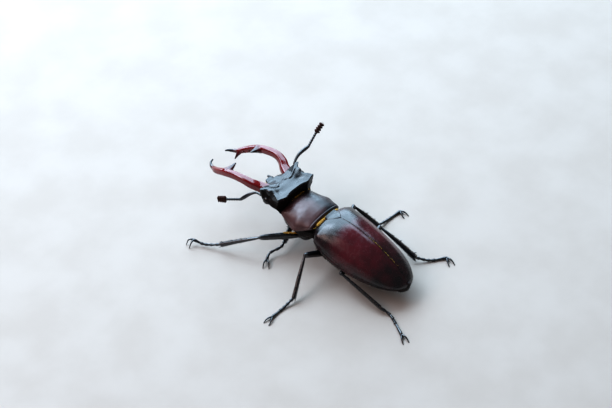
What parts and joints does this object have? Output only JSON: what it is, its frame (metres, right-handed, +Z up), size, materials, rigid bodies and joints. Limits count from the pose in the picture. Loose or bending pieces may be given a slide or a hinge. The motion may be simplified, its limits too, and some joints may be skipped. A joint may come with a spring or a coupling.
{
  "type": "stag beetle",
  "caption": "Life-size stag beetle standing on its legs, with long toothed mandibles, elbowed antennae, domed wing cases and clawed feet, held still in a walking pose.",
  "frame": {"origin": "on the floor, straight under the middle of the bounding box", "axes": "+Z up, the beetle faces -Y and its left side is towards +X"},
  "size_m": [0.0594, 0.0812, 0.0227],
  "materials": {
    "shell_black": "gloss",
    "pronotum_black": "satin",
    "elytra_chestnut": "gloss",
    "jaw_red": "gloss",
    "eye_black": "gloss",
    "leg_black": "gloss",
    "club_brown": "matte",
    "belly_black": "satin"
  },
  "bodies": {
    "root": {"head": "shell_black", "eye_left": "eye_black", "eye_right": "eye_black", "mouthparts": "shell_black", "mandible_left": "jaw_red", "mandible_right": "jaw_red", "scape_left": "leg_black", "antenna_left": "leg_black", "club_left": "club_brown", "scape_right": "leg_black", "antenna_right": "leg_black", "club_right": "club_brown", "pronotum": "pronotum_black", "prosternum": "belly_black", "scutellum": "shell_black", "elytron_left": "elytra_chestnut", "elytron_right": "elytra_chestnut", "thorax": "belly_black", "abdomen": "belly_black", "coxa_front_left": "leg_black", "femur_front_left": "leg_black", "tibia_front_left": "leg_black", "tarsus_front_left": "leg_black", "coxa_front_right": "leg_black", "femur_front_right": "leg_black", "tibia_front_right": "leg_black", "tarsus_front_right": "leg_black", "coxa_middle_left": "leg_black", "femur_middle_left": "leg_black", "tibia_middle_left": "leg_black", "tarsus_middle_left": "leg_black", "coxa_middle_right": "leg_black", "femur_middle_right": "leg_black", "tibia_middle_right": "leg_black", "tarsus_middle_right": "leg_black", "coxa_hind_left": "leg_black", "femur_hind_left": "leg_black", "tibia_hind_left": "leg_black", "tarsus_hind_left": "leg_black", "coxa_hind_right": "leg_black", "femur_hind_right": "leg_black", "tibia_hind_right": "leg_black", "tarsus_hind_right": "leg_black"}
  },
  "joints": []
}
